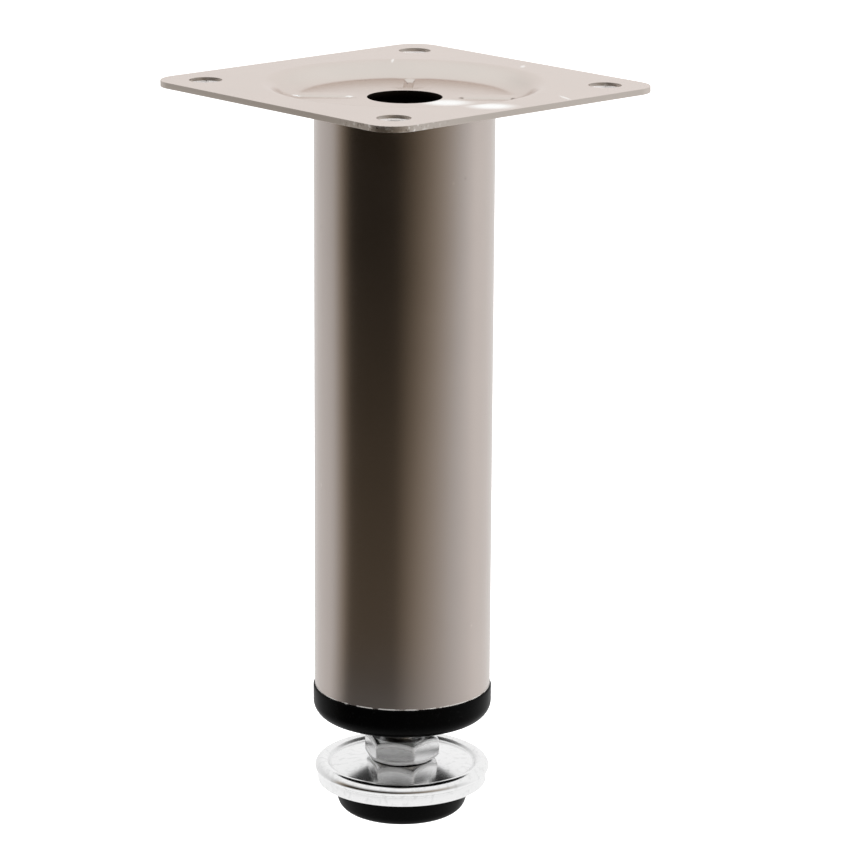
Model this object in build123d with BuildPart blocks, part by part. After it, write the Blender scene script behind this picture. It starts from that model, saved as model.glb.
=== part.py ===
"""Adjustable furniture leg: a round steel tube on a square screw plate, with a screw foot.

Origin at the centre of the plate's top face, +Z up, plate sides along X and Y.
The leg hangs down from the plate: tube, plastic plug with its captive nut, adjusting
screw, and a pressed steel foot with a plastic pad. All sizes are in millimetres.
"""

import math
import os

from build123d import *

# Mounting plate: one sheet, blanked, dished and punched
plate_side = 60.0
plate_corner_radius = 5.0
plate_sheet = 1.0
plate_edge_break = 0.15
screw_hole_inset = 6.75
screw_hole_radius = 2.85
screw_countersink_width = 0.45
dish_floor_margin = 2.5
dish_wall_run = 5.5
dish_depth = 2.4
centre_hole_radius = 6.2

# Weld ribs: narrow grooves pressed down in the dish floor, ridges on its underside,
# each crossing the wall of the tube
rib_count = 4
rib_reach_inward = 4.5
rib_reach_outward = 2.8
rib_width = 1.8
rib_depth = 0.6
rib_draft = 12.0

# Leg tube
tube_radius = 15.0
tube_wall = 1.2
tube_length = 100.0
tube_edge_break = 0.2

# End plug: moulded plastic, pressed into the foot of the tube
plug_flange_height = 5.4
plug_flange_overhang = 0.25
plug_flange_round = 2.7
plug_stem_length = 18.0
plug_stem_wall = 1.6
plug_stem_gap = 1.0
plug_lead_in = 0.8
plug_fin_count = 12
plug_fin_width = 0.9
plug_web_count = 6
plug_web_thickness = 1.4
plug_boss_wall = 2.0
plug_floor = 3.0
plug_bore_clearance = 0.4

# Plug nut: M8 hexagon nut, pressed into the plug from below
nut_across_flats = 13.0
nut_height = 6.5
nut_recess = 0.2
nut_chamfer_angle = 30.0

# Adjusting screw: stud, wrench hexagon, journal and head in one piece
stud_radius = 4.0
stud_length = 25.0
stud_tip_chamfer = 0.8
thread_running_clearance = 0.05
hexagon_gap = 3.7
hexagon_across_flats = 11.4
hexagon_height = 4.2
hexagon_chamfer_angle = 30.0
hexagon_turn = 5.8
journal_radius = 3.6
journal_clearance = 0.1
head_radius = 5.1
head_height = 1.9
head_chamfer = 0.4
foot_end_play = 0.1

# Foot cover: pressed from one disc of sheet, from its seat out to its skirt
cover_sheet = 0.6
seat_radius = 5.6
seat_edge_radius = 2.4
crown_slope = -8.0
bead_outer_radius = 15.0
bead_entry_angle = 50.0
bead_entry_radius = 0.5
bead_top_radius = 1.4
bead_shoulder_angle = -70.0
bead_side_inside = 0.15
bead_under_angle = -150.0
bead_crease_radius = 0.25
skirt_height = 1.6

# Foot pad: moulded plastic, pressed up into the cover
pad_rim_clearance = 0.05
pad_rim_width = 1.1
pad_rim_height = 1.4
pad_top_clearance = 0.08
pad_pocket_clearance = 0.3
pad_head_clearance = 0.15
pad_shoulder_step = 2.4
pad_side_draft = 18.0
pad_below_skirt = 5.2
pad_edge_round = 2.4

# Heights and radii that follow, with heights measured down from the plate's top face
dish_floor_top = -dish_depth
dish_floor_underside = dish_floor_top - plate_sheet
tube_top = dish_floor_underside - rib_depth
tube_bottom = tube_top - tube_length
tube_bore_radius = tube_radius - tube_wall
dish_floor_radius = tube_radius + dish_floor_margin
dish_rim_radius = dish_floor_radius + dish_wall_run
plug_bottom = tube_bottom - plug_flange_height
nut_bottom = plug_bottom + nut_recess
nut_top = nut_bottom + nut_height
hexagon_top = plug_bottom - hexagon_gap
hexagon_bottom = hexagon_top - hexagon_height
stud_top = hexagon_top + stud_length
seat_top = hexagon_bottom - foot_end_play
head_top = seat_top - cover_sheet - foot_end_play
head_bottom = head_top - head_height

os.makedirs("parts", exist_ok=True)


def across_corners(across_flats):
    """Diameter over the corners of a regular hexagon."""
    return across_flats / math.cos(math.radians(30))


def sine(angle):
    """Sine of an angle in degrees."""
    return math.sin(math.radians(angle))


def chamfered_profile(across_flats, bottom, top, angle):
    """Half section of the turned blank that cuts a hexagon's corners, both ends."""
    flat_radius = across_flats / 2
    corner_radius = across_corners(across_flats) / 2 + 0.1
    drop = (corner_radius - flat_radius) * math.tan(math.radians(angle))
    return [
        (0, bottom),
        (flat_radius, bottom),
        (corner_radius, bottom + drop),
        (corner_radius, top - drop),
        (flat_radius, top),
        (0, top),
    ]


# Mounting plate
# The dish wall is an S of two equal arcs, and the sheet keeps one thickness through it.
wall_turn = 2 * math.degrees(math.atan(dish_depth / dish_wall_run))
wall_arc_radius = dish_wall_run / (2 * sine(wall_turn))
dish_outer_radius = dish_rim_radius + plate_sheet
screw_hole_spacing = plate_side - 2 * screw_hole_inset
countersink_radius = screw_hole_radius + screw_countersink_width
rib_inner_radius = tube_bore_radius - rib_reach_inward
rib_outer_radius = tube_radius + rib_reach_outward
rib_middle_radius = (rib_inner_radius + rib_outer_radius) / 2
rib_length = rib_outer_radius - rib_inner_radius

with BuildPart() as mounting_plate:
    with BuildSketch(Plane.XY.offset(-plate_sheet)):
        RectangleRounded(plate_side, plate_side, plate_corner_radius)
        Circle(dish_outer_radius, mode=Mode.SUBTRACT)
    extrude(amount=plate_sheet)
    with BuildSketch(Plane.XZ):
        with BuildLine():
            floor_line = Line((centre_hole_radius, dish_floor_top), (dish_floor_radius, dish_floor_top))
            wall_foot = JernArc(floor_line @ 1, floor_line % 1, wall_arc_radius, wall_turn)
            wall_head = JernArc(wall_foot @ 1, wall_foot % 1, wall_arc_radius, -wall_turn)
            Line(wall_head @ 1, (dish_outer_radius, 0))
            offset(amount=plate_sheet, side=Side.RIGHT)
        make_face()
    revolve(axis=Axis.Z)
    outer_edges = mounting_plate.edges().filter_by(Plane.XY).filter_by(
        lambda edge: abs(edge.center().Z) < 0.01 or abs(edge.center().Z + plate_sheet) < 0.01
    ).filter_by(lambda edge: Vector(edge.center().X, edge.center().Y).length > dish_outer_radius)
    chamfer(outer_edges, length=plate_edge_break)
    with Locations(Plane(origin=(0, 0, -plate_sheet), x_dir=(1, 0, 0), z_dir=(0, 0, -1))):
        with GridLocations(screw_hole_spacing, screw_hole_spacing, 2, 2):
            CounterSinkHole(radius=screw_hole_radius, counter_sink_radius=countersink_radius)
    with BuildSketch(Plane.XY.offset(dish_floor_underside)):
        with PolarLocations(rib_middle_radius, rib_count, start_angle=45):
            SlotOverall(rib_length, rib_width)
    extrude(amount=-rib_depth, taper=rib_draft)
    with BuildSketch(Plane.XY.offset(dish_floor_top)):
        with PolarLocations(rib_middle_radius, rib_count, start_angle=45):
            SlotOverall(rib_length, rib_width)
    extrude(amount=-rib_depth, taper=rib_draft, mode=Mode.SUBTRACT)

mounting_plate.part.label = "mounting_plate"
export_step(mounting_plate.part, "parts/mounting_plate.step")

# Leg tube
with BuildPart() as leg_tube:
    with BuildSketch(Plane.XY.offset(tube_bottom)):
        Circle(tube_radius)
        Circle(tube_bore_radius, mode=Mode.SUBTRACT)
    extrude(amount=tube_length)
    chamfer(leg_tube.edges().filter_by(GeomType.CIRCLE), length=tube_edge_break)

leg_tube.part.label = "leg_tube"
export_step(leg_tube.part, "parts/leg_tube.step")

# End plug
plug_flange_radius = tube_radius + plug_flange_overhang
plug_stem_radius = tube_bore_radius - plug_stem_gap
plug_bore_radius = stud_radius + plug_bore_clearance
plug_boss_radius = plug_bore_radius + plug_boss_wall
plug_floor_top = nut_top + plug_floor

with BuildPart() as end_plug:
    with BuildSketch(Plane.XY.offset(plug_bottom)):
        Circle(plug_flange_radius)
    extrude(amount=plug_flange_height)
    fillet(end_plug.edges().sort_by(Axis.Z)[0], radius=plug_flange_round)
    with BuildSketch(Plane.XY.offset(tube_bottom)):
        Circle(plug_stem_radius)
    extrude(amount=plug_stem_length)
    chamfer(end_plug.edges().sort_by(Axis.Z)[-1], length=plug_lead_in)
    with BuildSketch(Plane.XY.offset(tube_bottom)):
        with PolarLocations(plug_stem_radius, plug_fin_count):
            Rectangle(2 * plug_stem_gap, plug_fin_width)
        Circle(tube_bore_radius, mode=Mode.INTERSECT)
    extrude(amount=plug_stem_length - 2 * plug_lead_in)
    with BuildSketch(Plane.XY.offset(plug_floor_top)):
        Circle(plug_stem_radius - plug_stem_wall)
        Circle(plug_boss_radius, mode=Mode.SUBTRACT)
        with PolarLocations(plug_stem_radius / 2, plug_web_count):
            Rectangle(plug_stem_radius, plug_web_thickness, mode=Mode.SUBTRACT)
    extrude(until=Until.LAST, mode=Mode.SUBTRACT)
    with BuildSketch(Plane.XY.offset(plug_bottom)):
        Circle(plug_bore_radius)
    extrude(until=Until.LAST, mode=Mode.SUBTRACT)
    with BuildSketch(Plane.XY.offset(plug_bottom)):
        RegularPolygon(across_corners(nut_across_flats) / 2, 6)
    extrude(amount=nut_recess + nut_height, mode=Mode.SUBTRACT)

end_plug.part.label = "end_plug"
export_step(end_plug.part, "parts/end_plug.step")

# Plug nut
nut_bore_radius = stud_radius + thread_running_clearance

with BuildPart() as plug_nut:
    with BuildSketch(Plane.XY.offset(nut_bottom)):
        RegularPolygon(across_corners(nut_across_flats) / 2, 6)
    extrude(amount=nut_height)
    with BuildSketch(Plane.XZ):
        Polygon(
            *chamfered_profile(nut_across_flats, nut_bottom, nut_top, nut_chamfer_angle),
            align=None,
        )
    revolve(axis=Axis.Z, mode=Mode.INTERSECT)
    with BuildSketch(Plane.XY.offset(nut_bottom)):
        Circle(nut_bore_radius)
    extrude(amount=nut_height, mode=Mode.SUBTRACT)

plug_nut.part.label = "plug_nut"
export_step(plug_nut.part, "parts/plug_nut.step")

# Adjusting screw
with BuildPart() as adjusting_screw:
    with BuildSketch(Plane.XY.offset(hexagon_bottom)):
        RegularPolygon(across_corners(hexagon_across_flats) / 2, 6, rotation=hexagon_turn)
    extrude(amount=hexagon_height)
    with BuildSketch(Plane.XZ):
        Polygon(
            *chamfered_profile(
                hexagon_across_flats, hexagon_bottom, hexagon_top, hexagon_chamfer_angle
            ),
            align=None,
        )
    revolve(axis=Axis.Z, mode=Mode.INTERSECT)
    with BuildSketch(Plane.XY.offset(hexagon_top)):
        Circle(stud_radius)
    extrude(amount=stud_length)
    chamfer(adjusting_screw.edges().sort_by(Axis.Z)[-1], length=stud_tip_chamfer)
    with BuildSketch(Plane.XY.offset(hexagon_bottom)):
        Circle(journal_radius)
    extrude(amount=head_top - hexagon_bottom)
    with BuildSketch(Plane.XY.offset(head_top)):
        Circle(head_radius)
    extrude(amount=-head_height)
    chamfer(adjusting_screw.edges().sort_by(Axis.Z)[0], length=head_chamfer)

adjusting_screw.part.label = "adjusting_screw"
export_step(adjusting_screw.part, "parts/adjusting_screw.step")

# Foot cover
# The section is one line of sheet, from the hole in the seat out to the skirt's edge.
# Each turn is a tangent arc, and each angle is the line's slope where the arc ends.
cover_hole_radius = journal_radius + journal_clearance
bead_side_radius = cover_sheet + bead_side_inside
crown_start = seat_radius - seat_edge_radius * sine(crown_slope)
bead_side_centre = bead_outer_radius - bead_side_radius
bead_top_centre = bead_side_centre + (bead_top_radius - bead_side_radius) * sine(bead_shoulder_angle)
bead_top_start = bead_top_centre - bead_top_radius * sine(bead_entry_angle)
crown_end = bead_top_start - bead_entry_radius * (sine(bead_entry_angle) - sine(crown_slope))
crown_length = (crown_end - crown_start) / math.cos(math.radians(crown_slope))

with BuildPart() as foot_cover:
    with BuildSketch(Plane.XZ):
        with BuildLine():
            seat = Line((cover_hole_radius, seat_top), (seat_radius, seat_top))
            seat_edge = JernArc(seat @ 1, seat % 1, seat_edge_radius, crown_slope)
            crown = Line(seat_edge @ 1, seat_edge @ 1 + (seat_edge % 1) * crown_length)
            bead_entry = JernArc(crown @ 1, crown % 1, bead_entry_radius, bead_entry_angle - crown_slope)
            bead_top = JernArc(
                bead_entry @ 1, bead_entry % 1, bead_top_radius, bead_shoulder_angle - bead_entry_angle
            )
            bead_side = JernArc(
                bead_top @ 1, bead_top % 1, bead_side_radius, bead_under_angle - bead_shoulder_angle
            )
            crease = JernArc(bead_side @ 1, bead_side % 1, bead_crease_radius, -90 - bead_under_angle)
            skirt = Line(crease @ 1, crease @ 1 - (0, skirt_height))
            offset(amount=cover_sheet, side=Side.RIGHT)
        make_face()
    revolve(axis=Axis.Z)

foot_cover.part.label = "foot_cover"
export_step(foot_cover.part, "parts/foot_cover.step")

# Foot pad
skirt_radius = (skirt @ 1).X
skirt_bottom = (skirt @ 1).Y
pad_rim_radius = skirt_radius - cover_sheet - pad_rim_clearance
pad_rim_top = skirt_bottom + pad_rim_height
pad_top = (crown @ 1).Y - cover_sheet - pad_top_clearance
pad_pocket_radius = head_radius + pad_pocket_clearance
pad_pocket_floor = head_bottom - pad_head_clearance
pad_bottom = skirt_bottom - pad_below_skirt
pad_shoulder_radius = skirt_radius - pad_shoulder_step
pad_bottom_radius = pad_shoulder_radius - pad_below_skirt * sine(pad_side_draft)

with BuildPart() as foot_pad:
    with BuildSketch(Plane.XZ):
        Polygon(
            (0, pad_bottom),
            (pad_bottom_radius, pad_bottom),
            (pad_shoulder_radius, skirt_bottom),
            (pad_rim_radius, skirt_bottom),
            (pad_rim_radius, pad_rim_top),
            (pad_rim_radius - pad_rim_width, pad_rim_top),
            (pad_rim_radius - pad_rim_width, pad_top),
            (pad_pocket_radius, pad_top),
            (pad_pocket_radius, pad_pocket_floor),
            (0, pad_pocket_floor),
            align=None,
        )
    revolve(axis=Axis.Z)
    fillet(foot_pad.edges().sort_by(Axis.Z)[0], radius=pad_edge_round)

foot_pad.part.label = "foot_pad"
export_step(foot_pad.part, "parts/foot_pad.step")
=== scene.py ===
import math

import bmesh
import bpy
from mathutils import Matrix, Vector


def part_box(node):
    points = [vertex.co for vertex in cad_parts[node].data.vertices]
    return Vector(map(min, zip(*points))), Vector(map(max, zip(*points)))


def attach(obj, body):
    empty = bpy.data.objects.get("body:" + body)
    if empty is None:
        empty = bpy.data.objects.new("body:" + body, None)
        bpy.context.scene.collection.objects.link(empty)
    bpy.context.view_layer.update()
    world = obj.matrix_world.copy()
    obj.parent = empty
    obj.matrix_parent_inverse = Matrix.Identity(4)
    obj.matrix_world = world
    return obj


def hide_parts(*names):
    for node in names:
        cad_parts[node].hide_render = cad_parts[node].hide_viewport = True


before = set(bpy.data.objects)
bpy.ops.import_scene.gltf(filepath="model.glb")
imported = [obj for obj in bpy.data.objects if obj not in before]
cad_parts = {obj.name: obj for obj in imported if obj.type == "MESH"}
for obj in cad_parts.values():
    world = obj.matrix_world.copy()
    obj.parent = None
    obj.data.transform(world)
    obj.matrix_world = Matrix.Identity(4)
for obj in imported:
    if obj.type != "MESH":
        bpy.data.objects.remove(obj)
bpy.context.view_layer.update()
mm = 0.001

# Mounting plate
# One square of 1 mm steel sheet. It is blanked with its holes, pressed down into a round dish for
# the tube, with a narrow rib across each quarter of the tube's end, and plated in satin nickel.
plate_low, plate_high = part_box("mounting_plate")
plate_side = plate_high.x - plate_low.x
plate_corner = 5.0 * mm
sheet = 1.0 * mm
screw_hole_spacing = 46.5 * mm
screw_hole_radius = 2.75 * mm
countersink = 0.38 * mm
centre_hole_radius = 6.2 * mm
dish_floor_radius = 17.5 * mm
dish_wall_run = 6.5 * mm
dish_depth = 2.4 * mm
pressed_radius = dish_floor_radius + dish_wall_run + sheet
rib_inner_radius = 9.3 * mm
rib_outer_radius = 17.8 * mm
rib_width = 1.8 * mm
rib_depth = plate_high.z - plate_low.z - sheet - dish_depth


class Value:
    """What a node puts out. A sum on it adds a Math node to its tree."""

    def __init__(self, tree, socket):
        self.tree = tree
        self.socket = socket

    def maths(self, operation, *others):
        """A Math node on this value and others."""
        return made(self.tree, "ShaderNodeMath", self, *others, operation=operation)

    def __add__(self, other):
        return self.maths("ADD", other)

    def __sub__(self, other):
        return self.maths("SUBTRACT", other)

    def __rsub__(self, other):
        return made(self.tree, "ShaderNodeMath", other, self, operation="SUBTRACT")

    def __mul__(self, other):
        return self.maths("MULTIPLY", other)

    def __truediv__(self, other):
        return self.maths("DIVIDE", other)


def feed(tree, socket, value):
    """Links a socket, or sets its value. None leaves it as it is."""
    if isinstance(value, Value):
        tree.links.new(value.socket, socket)
    elif value is not None:
        socket.default_value = value


def add(tree, kind, *inputs, named=None, **settings):
    """Adds a node, gives it its settings, and feeds its inputs in order and by name."""
    node = tree.nodes.new(kind)
    for label, value in settings.items():
        setattr(node, label, value)
    for socket, value in zip([s for s in node.inputs if s.enabled], inputs):
        feed(tree, socket, value)
    for label, value in (named or {}).items():
        feed(tree, node.inputs[label], value)
    return node


def made(tree, kind, *inputs, named=None, **settings):
    """The first output of an added node."""
    node = add(tree, kind, *inputs, named=named, **settings)
    return Value(tree, next(s for s in node.outputs if s.enabled))


def read(tree, kind, label, **settings):
    """The output of this name of an added node."""
    return Value(tree, add(tree, kind, **settings).outputs[label])


def parts(tree, vector):
    """The x, y and z of a vector."""
    return [Value(tree, socket) for socket in add(tree, "ShaderNodeSeparateXYZ", vector).outputs]


def distance(x, y):
    """The length across two sides."""
    return (x * x + y * y).maths("SQRT")


def fade(tree, value, start, end, low=0.0, high=1.0, smooth=False):
    """From low to high as a value goes from start to end, and level beyond them."""
    ease = "SMOOTHSTEP" if smooth else "LINEAR"
    return made(tree, "ShaderNodeMapRange", value, start, end, low, high, interpolation_type=ease)


def sockets_of(tree, inputs, kind_of):
    """The tree's new input sockets, as values by name."""
    for label, value in inputs.items():
        socket = tree.interface.new_socket(label, in_out="INPUT", socket_type=kind_of(value))
        if isinstance(value, (int, float)):
            socket.default_value = value
    outputs = tree.nodes.new("NodeGroupInput").outputs
    return {socket.name: Value(tree, socket) for socket in outputs if socket.name}


def node_tree(name, inputs):
    """A new Geometry Nodes tree with a mesh input, named number inputs and a mesh output."""
    tree = bpy.data.node_groups.new(name, "GeometryNodeTree")
    tree.interface.new_socket("Mesh", in_out="INPUT", socket_type="NodeSocketGeometry")
    tree.interface.new_socket("Mesh", in_out="OUTPUT", socket_type="NodeSocketGeometry")
    kinds = {int: "NodeSocketInt", float: "NodeSocketFloat"}
    given = sockets_of(tree, inputs, lambda value: kinds.get(type(value), "NodeSocketMaterial"))
    return tree, given, tree.nodes.new("NodeGroupOutput").inputs["Mesh"]


def run_tree(piece, tree, values):
    """Runs a Geometry Nodes tree on a piece with these input values and keeps the plain mesh."""
    modifier = piece.modifiers.new(tree.name, "NODES")
    modifier.node_group = tree
    for item in tree.interface.items_tree:
        if item.in_out == "INPUT" and item.name in values:
            modifier[item.identifier] = values[item.name]
    keep_evaluated(piece)


def keep_evaluated(piece):
    """Turns a piece and its modifiers into a plain mesh."""
    evaluated = piece.evaluated_get(bpy.context.evaluated_depsgraph_get())
    mesh = bpy.data.meshes.new_from_object(evaluated)
    piece.modifiers.clear()
    piece.data = mesh
    mesh.name = piece.name


def new_piece(name):
    """An empty piece at the origin, in the scene."""
    piece = bpy.data.objects.new(name, bpy.data.meshes.new(name))
    bpy.context.scene.collection.objects.link(piece)
    return piece


def position(tree):
    """The x, y and z of a mesh's points."""
    return parts(tree, made(tree, "GeometryNodeInputPosition"))


def polar_position(tree):
    """The distance of a mesh's points from the axis, and their angle round it."""
    x, y, _ = position(tree)
    return distance(x, y), y.maths("ARCTAN2", x)


def joined(tree, *meshes):
    """Meshes or curves joined into one."""
    join = tree.nodes.new("GeometryNodeJoinGeometry")
    for mesh in meshes:
        feed(tree, join.inputs[0], mesh)
    return Value(tree, join.outputs[0])


def finished(tree, mesh, given, result):
    """Makes a mesh real, gives it its material and puts it out."""
    real = made(tree, "GeometryNodeRealizeInstances", mesh)
    named = {"Geometry": real, "Material": given["Material"]}
    feed(tree, result, made(tree, "GeometryNodeSetMaterial", named=named))
    return tree


def round_net(tree, rows, steps):
    """A flat net, with its share along the rows and its angle along the steps."""
    net = made(tree, "GeometryNodeMeshGrid", 1, 1, rows, steps + 1)
    x, y, _ = position(tree)
    return net, x + 0.5, (y + 0.5) * (2 * math.pi)


def wound(tree, net, radius, turn, height=None):
    """A net wound round the axis."""
    x = radius * turn.maths("COSINE")
    y = radius * turn.maths("SINE")
    spot = made(tree, "ShaderNodeCombineXYZ", x, y, height)
    return made(tree, "GeometryNodeSetPosition", net, None, spot)


def merged(tree, mesh):
    """A mesh with its touching points made one."""
    return made(tree, "GeometryNodeMergeByDistance", named={"Geometry": mesh, "Distance": 0.002 * mm})


def pressed(tree, mesh, height):
    """A mesh moved up by a height."""
    offset = made(tree, "ShaderNodeCombineXYZ", None, None, height)
    return made(tree, "GeometryNodeSetPosition", mesh, None, None, offset)


def from_hole(x, y, spacing):
    """Distance from the middle of the nearest of the four screw holes."""
    return distance(x.maths("ABSOLUTE") - spacing * 0.5, y.maths("ABSOLUTE") - spacing * 0.5)


def blank_tree():
    """The flat blank with its holes, and in its middle a fine round net ready for the press."""
    tree, given, result = node_tree("plate_blank", {
        "Side": 0.06, "Corner": 0.0055, "Hole Spacing": 0.0465, "Hole Radius": 0.003,
        "Centre Hole": 0.006, "Net Radius": 0.024, "Round": 8, "Rings": 8})
    outline = made(tree, "GeometryNodeCurvePrimitiveQuadrilateral", given["Side"], given["Side"])
    corners = made(tree, "GeometryNodeFilletCurve", mode="POLY", named={
        "Curve": outline, "Radius": given["Corner"], "Count": 20, "Limit Radius": True})
    net_edge, hole = [
        made(tree, "GeometryNodeCurvePrimitiveCircle", named={"Resolution": steps, "Radius": radius})
        for steps, radius in ((given["Round"], given["Net Radius"]), (64, given["Hole Radius"]))]
    spots = made(tree, "GeometryNodeMeshGrid", given["Hole Spacing"], given["Hole Spacing"], 2, 2)
    holes = made(tree, "GeometryNodeInstanceOnPoints", named={"Points": spots, "Instance": hole})
    edges = joined(tree, corners, net_edge, made(tree, "GeometryNodeRealizeInstances", holes))
    net, across, turn = round_net(tree, given["Rings"], given["Round"])
    radius = given["Centre Hole"] + across * (given["Net Radius"] - given["Centre Hole"])
    whole = joined(tree, made(tree, "GeometryNodeFillCurve", edges), wound(tree, net, radius, turn))
    feed(tree, result, merged(tree, whole))
    return tree


def dish_tree():
    """Presses the dish: its wall is an S of two equal arcs between the floor and the rim."""
    tree, given, result = node_tree("plate_dish", {
        "Floor Radius": 0.0175, "Wall Run": 0.0055, "Depth": 0.0024})
    radius, _ = polar_position(tree)
    slope = (given["Depth"] / given["Wall Run"]).maths("ARCTANGENT")
    bend = given["Wall Run"] / ((slope * 2.0).maths("SINE") * 2.0)
    rises = []
    for run in (radius - given["Floor Radius"], given["Floor Radius"] + given["Wall Run"] - radius):
        run = run.maths("MAXIMUM", 0.0).maths("MINIMUM", given["Wall Run"] * 0.5)
        rises.append(bend - (bend * bend - run * run).maths("SQRT"))
    feed(tree, result, pressed(tree, given["Mesh"], given["Depth"] * -0.5 + (rises[0] - rises[1])))
    return tree


def rib_tree():
    """Presses the ribs: slots spaced evenly round the axis, with soft drafted walls and a shallow
    dip of the sheet around each."""
    tree, given, result = node_tree("plate_ribs", {
        "Count": 4.0, "Inner Radius": 0.009, "Outer Radius": 0.018, "Width": 0.0018,
        "Depth": 0.0006, "Wall": 0.0004, "Dip Depth": 0.0001, "Dip Reach": 0.0025})
    radius, angle = polar_position(tree)
    share = made(tree, "ShaderNodeMath", 2 * math.pi, given["Count"], operation="DIVIDE")
    near = angle.maths("FLOORED_MODULO", share) - share * 0.5
    half_width = given["Width"] * 0.5
    middle = (given["Inner Radius"] + given["Outer Radius"]) * 0.5
    half_length = middle - given["Inner Radius"] - half_width
    beyond = ((radius * near.maths("COSINE") - middle).maths("ABSOLUTE") - half_length).maths("MAXIMUM", 0.0)
    inside = half_width - distance(beyond, radius * near.maths("SINE"))
    groove = fade(tree, inside, 0.0, given["Wall"], 0.0, given["Dip Depth"] - given["Depth"], smooth=True)
    dip = fade(tree, inside, given["Dip Reach"] * -1.0, 0.0, 0.0, given["Dip Depth"] * -1.0, smooth=True)
    feed(tree, result, pressed(tree, given["Mesh"], groove + dip))
    return tree


def cut_edge_tree():
    """Marks the screw holes' lower rims, which get a bevel, and the sheared faces, and finishes."""
    tree, given, result = node_tree("plate_marks", {
        "Hole Spacing": 0.0465, "Hole Radius": 0.00285, "Sheet": 0.001, "Material": None})
    x, y, z = position(tree)
    near_hole = from_hole(x, y, given["Hole Spacing"]).maths("LESS_THAN", given["Hole Radius"] * 1.01)
    lower_rim = near_hole * z.maths("LESS_THAN", given["Sheet"] * -0.9)
    _, _, upright = parts(tree, made(tree, "GeometryNodeInputNormal"))
    sheared = upright.maths("ABSOLUTE").maths("LESS_THAN", 0.2)
    mesh = given["Mesh"]
    for name, domain, value in (("bevel_weight_edge", "EDGE", lower_rim), ("sheared", "FACE", sheared)):
        mesh = made(tree, "GeometryNodeStoreNamedAttribute", domain=domain,
                    named={"Geometry": mesh, "Name": name, "Value": value})
    return finished(tree, mesh, given, result)


def shader_group(name, inputs, outputs):
    """A new shader node group with named number, colour or vector sockets."""
    group = bpy.data.node_groups.new(name, "ShaderNodeTree")
    kinds = {"number": "NodeSocketFloat", "colour": "NodeSocketColor", "vector": "NodeSocketVector"}
    for label, kind in outputs.items():
        group.interface.new_socket(label, in_out="OUTPUT", socket_type=kinds[kind])
    return group, sockets_of(group, inputs, kinds.get), group.nodes.new("NodeGroupOutput").inputs


def skin_group(name, inputs):
    """A shader node group for a finish, with these number inputs beside vector, colour, roughness."""
    return shader_group(name, {"Vector": "vector", "Colour": "colour", "Roughness": "number", **inputs},
                        {"Colour": "colour", "Roughness": "number", "Height": "number"})


def noise(tree, vector, scale, detail=2):
    """Noise from 0 to 1."""
    return made(tree, "ShaderNodeTexNoise", named={"Vector": vector, "Scale": scale, "Detail": detail})


def channels(tree, colour):
    """The red, green and blue of a colour."""
    return [Value(tree, socket) for socket in add(tree, "ShaderNodeSeparateColor", colour).outputs]


def scaled(tree, vector, amount):
    """A vector or colour times a number."""
    return made(tree, "ShaderNodeVectorMath", vector, named={"Scale": amount}, operation="SCALE")


def plating_group():
    """Satin plating: a fine sandy grain, slow cloudiness and a few bright and dark flecks."""
    group, given, result = skin_group("satin_plating", {"Cloud": "number", "Flecks": "number"})
    cells = add(group, "ShaderNodeTexVoronoi", named={"Vector": given["Vector"], "Scale": 420})
    chance, size, side = channels(group, Value(group, cells.outputs["Color"]))
    dot = fade(group, Value(group, cells.outputs["Distance"]), 0.0, size * 0.13, 1.0, 0.0)
    fleck = dot * chance.maths("GREATER_THAN", 0.86) * given["Flecks"]
    drift = (noise(group, given["Vector"], 90, 3) - 0.5) * given["Cloud"]
    shade = drift + 1.0 + fleck * (side.maths("GREATER_THAN", 0.4) * 2.0 - 1.0)
    feed(group, result["Colour"], scaled(group, given["Colour"], shade))
    feed(group, result["Roughness"], given["Roughness"] + drift * 0.4)
    feed(group, result["Height"], noise(group, given["Vector"], 5200) + fleck * 2.0)
    return group


def new_material(name):
    """A material with its Principled shader, and the object's own coordinates."""
    material = bpy.data.materials.new(name)
    material.use_nodes = True
    tree = material.node_tree
    return material, tree, tree.nodes["Principled BSDF"], read(tree, "ShaderNodeTexCoord", "Object")


def skinned(name, group, colour, roughness, relief, inputs):
    """A material whose colour, roughness and relief come from a shader group."""
    material, tree, shader, place_on = new_material(name)
    skin = add(tree, "ShaderNodeGroup", node_tree=group, named={
        "Vector": place_on, "Colour": (*colour, 1), "Roughness": roughness, **inputs})
    bump = add(tree, "ShaderNodeBump", named={
        "Strength": 1.0, "Distance": relief, "Height": Value(tree, skin.outputs["Height"])})
    tree.links.new(skin.outputs["Colour"], shader.inputs["Base Color"])
    tree.links.new(skin.outputs["Roughness"], shader.inputs["Roughness"])
    tree.links.new(bump.outputs["Normal"], shader.inputs["Normal"])
    return material, tree, shader, place_on


satin_plating = plating_group()


def satin_nickel(name, colour, roughness, cloud, flecks):
    """Satin nickel on steel, warm grey."""
    inputs = {"Cloud": cloud, "Flecks": flecks}
    material, tree, shader, place_on = skinned(name, satin_plating, colour, roughness, 0.002 * mm, inputs)
    shader.inputs["Metallic"].default_value = 1
    return material, tree, shader, place_on


def mixed(tree, factor, low, high, kind="RGBA"):
    """A colour between two, or a number with kind FLOAT, by a factor."""
    return made(tree, "ShaderNodeMix", factor, low, high, data_type=kind)


def mix_in(tree, socket, colour, amount):
    """Mixes a colour or value over what feeds a socket, by an amount."""
    under = Value(tree, socket.links[0].from_socket)
    if socket.type == "RGBA":
        feed(tree, socket, mixed(tree, amount, under, (*colour, 1)))
    else:
        feed(tree, socket, mixed(tree, amount, under, colour, "FLOAT"))


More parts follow.
